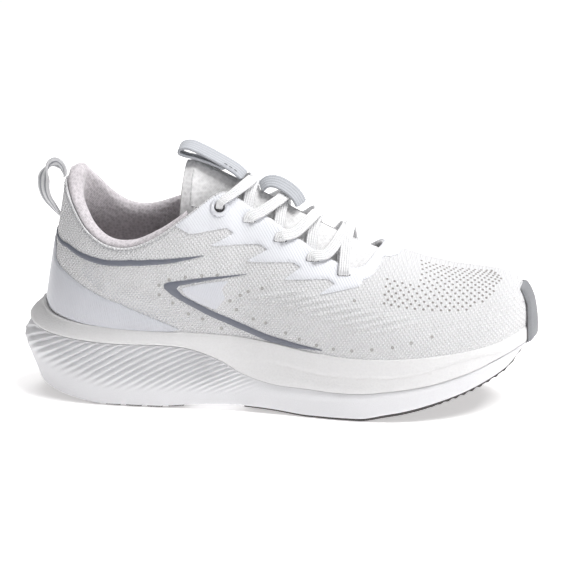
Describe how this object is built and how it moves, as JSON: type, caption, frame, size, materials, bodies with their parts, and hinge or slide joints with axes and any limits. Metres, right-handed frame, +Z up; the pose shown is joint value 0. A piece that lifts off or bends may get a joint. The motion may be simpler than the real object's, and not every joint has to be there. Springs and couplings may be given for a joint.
{
  "type": "running shoe",
  "caption": "Right running shoe with knit upper, padded collar and tongue, flat lace, heel pull loop, two-layer foam midsole and rubber outsole.",
  "frame": {"origin": "middle of the footprint, on the ground", "axes": "+X from heel to toe, +Y to the medial side, +Z up"},
  "size_m": [0.2922, 0.1012, 0.1449],
  "materials": {
    "knit": "white engineered knit",
    "film": "bluish-white ribbed film",
    "heel_film": "light blue-grey ribbed film",
    "stripe": "slate-grey printed film",
    "lining": "pinkish-grey mesh lining",
    "foam": "open-cell foam",
    "board": "non-woven fibre board",
    "plastic": "thin moulded plastic",
    "midsole": "moulded EVA foam, satin skin",
    "rubber": "dark grey-brown rubber",
    "bumper": "grey rubber, fine grain",
    "webbing": "grey woven webbing",
    "lace": "white flat braided lace"
  },
  "bodies": {
    "shoe": {"upper_knit": "knit", "toe_puff": "plastic", "heel_counter": "plastic", "collar_foam": "foam", "collar_lining": "lining", "eyestay_overlay_lateral": "film", "eyestay_overlay_medial": "film", "throat_overlay": "film", "heel_overlay": "heel_film", "side_stripe_lateral": "stripe", "side_stripe_medial": "stripe", "collar_stripe": "stripe", "eyelet_ring_lateral": "film", "eyelet_ring_medial": "film", "midsole_base": "midsole", "midsole_carrier": "midsole", "outsole_heel_lateral": "rubber", "outsole_heel_medial": "rubber", "outsole_forefoot": "rubber", "toe_bumper": "bumper", "strobel_board": "board", "sockliner": "lining", "shoelace": "lace", "lace_tail_lateral": "lace", "lace_tail_medial": "lace", "aglet_lateral": "plastic", "aglet_medial": "plastic"},
    "tongue": {"tongue_shell": "knit", "tongue_foam": "foam", "tongue_lining": "lining", "tongue_pull_tab": "webbing", "lace_keeper": "webbing"},
    "heel_loop": {"heel_pull_loop": "webbing"}
  },
  "joints": [
    {"name": "tongue_hinge", "type": "hinge", "parent": "shoe", "child": "tongue", "pos_m": [0.0642, 0.0006, 0.082], "axis": [0, 1, 0], "range_deg": [-6, 0], "stiffness_Nm_per_rad": 0.5, "deforming": ["shoelace"]},
    {"name": "heel_loop_swing", "type": "hinge", "parent": "shoe", "child": "heel_loop", "pos_m": [-0.1245, 0.0006, 0.114], "axis": [0.155, 0, 0.9879], "range_deg": [-15, 15], "stiffness_Nm_per_rad": 0.02}
  ]
}
